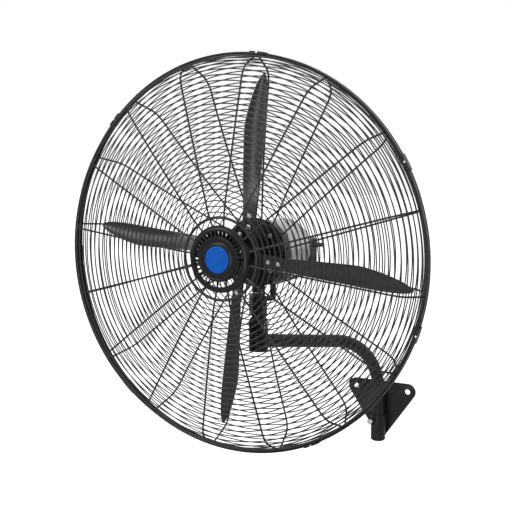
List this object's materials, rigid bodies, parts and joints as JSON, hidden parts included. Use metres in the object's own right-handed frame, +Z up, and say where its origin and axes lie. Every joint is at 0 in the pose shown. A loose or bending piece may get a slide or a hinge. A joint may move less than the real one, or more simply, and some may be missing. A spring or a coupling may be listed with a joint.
{
  "type": "wall mounted oscillating fan",
  "caption": "Industrial wall fan: wire guard, slim blades, motor head that oscillates and tilts on a bent tube arm swivelling in a wall bracket.",
  "frame": {"origin": "on the wall plate's back face, on its centre line, midway between the two screw holes' line and the lower lobe's centre", "axes": "+Z up, +Y into the wall, the fan blows towards -Y"},
  "size_m": [0.7542, 0.4495, 0.8157],
  "materials": {
    "black_paint": "semi-gloss powder coat",
    "black_plastic": "moulded satin",
    "blade_black": "satin paint on aluminium",
    "smooth_grey": "smooth, satin",
    "zinc": "zinc plated",
    "steel": "turned",
    "lamination": "varnished laminations",
    "brass": "hobbed",
    "badge_blue": "gloss, bare",
    "rubber": "matte"
  },
  "bodies": {
    "wall_bracket": {"wall_plate": "black_paint", "pivot_socket": "black_paint", "socket_plug": "black_plastic", "swivel_nut": "black_paint", "swivel_bolt": "zinc"},
    "arm": {"arm_tube": "black_paint", "clevis": "black_paint", "tilt_bolt": "zinc", "tilt_nut": "zinc"},
    "neck": {"neck_post": "black_paint", "pivot_shaft": "steel", "thrust_washer": "steel", "link_pin": "steel"},
    "link": {"drive_link": "black_paint"},
    "head": {"motor_front_cover": "black_paint", "motor_body": "smooth_grey", "motor_rear_cover": "smooth_grey", "stator": "lamination", "bearing_front": "steel", "bearing_rear": "steel", "motor_mount": "black_paint", "gear_housing": "black_plastic", "gearbox_lid": "black_plastic", "cord_gland": "rubber", "wiring_lead": "rubber", "guard_plate": "black_paint", "rear_guard": "black_paint", "front_guard": "black_paint", "rim_band": "black_paint", "rim_clip_1": "black_paint", "rim_clip_2": "black_paint", "rim_clip_3": "black_paint", "rim_clip_4": "black_paint", "rim_clip_5": "black_paint", "rim_clip_6": "black_paint", "rim_clip_7": "black_paint", "front_cap": "black_plastic", "cap_plate": "black_paint", "badge": "badge_blue"},
    "rotor": {"rotor_shaft": "steel", "rotor_core": "lamination", "fan_hub": "black_paint", "hub_nut": "zinc", "blade_1": "blade_black", "blade_2": "blade_black", "blade_3": "blade_black", "blade_4": "blade_black", "blade_screw_1": "zinc", "blade_screw_2": "zinc", "blade_screw_3": "zinc", "blade_screw_4": "zinc", "blade_screw_5": "zinc", "blade_screw_6": "zinc", "blade_screw_7": "zinc", "blade_screw_8": "zinc"},
    "idler": {"idler_gear": "brass"},
    "crank": {"crank_gear": "brass", "crank_arm": "steel"},
    "oscillation_knob": {"osc_knob": "black_plastic"},
    "speed_dial": {"speed_knob": "black_plastic"}
  },
  "joints": [
    {"name": "arm_swivel", "type": "hinge", "parent": "wall_bracket", "child": "arm", "pos_m": [0, -0.0225, 0], "axis": [0, 0, 1], "range_deg": [-30, 60]},
    {"name": "head_tilt", "type": "hinge", "parent": "arm", "child": "neck", "pos_m": [-0.15966, -0.28822, 0.225], "axis": [1, 0, 0], "range_deg": [-15, 8]},
    {"name": "head_oscillation", "type": "hinge", "parent": "neck", "child": "head", "pos_m": [-0.15966, -0.28822, 0.3], "axis": [0, 0, 1], "range_deg": [-45, 45]},
    {"name": "link_pivot", "type": "hinge", "parent": "neck", "child": "link", "pos_m": [-0.13766, -0.26822, 0.3], "axis": [0, 0, 1], "range_deg": [-45, 45]},
    {"name": "rotor_spin", "type": "hinge", "parent": "head", "child": "rotor", "pos_m": [-0.15966, -0.35222, 0.371], "axis": [0, 1, 0], "continuous": true},
    {"name": "idler_spin", "type": "hinge", "parent": "head", "child": "idler", "pos_m": [-0.18366, -0.10632, 0.371], "axis": [0, 0, 1], "continuous": true},
    {"name": "crank_spin", "type": "hinge", "parent": "head", "child": "crank", "pos_m": [-0.15751, -0.09632, 0.371], "axis": [0, 0, 1], "continuous": true},
    {"name": "knob_pull", "type": "slide", "parent": "head", "child": "oscillation_knob", "axis": [0, 0, 1], "range_m": [0, 0.008]},
    {"name": "speed_turn", "type": "hinge", "parent": "head", "child": "speed_dial", "pos_m": [-0.15966, -0.068, 0.347], "axis": [0, -1, 0], "range_deg": [0, 135]}
  ],
  "couplings": [
    {"joint": "idler_spin", "follows": "rotor_spin", "ratio": 0.027778},
    {"joint": "crank_spin", "follows": "rotor_spin", "ratio": -0.0046296},
    {"joint": "link_pivot", "follows": "head_oscillation", "ratio": 1}
  ]
}
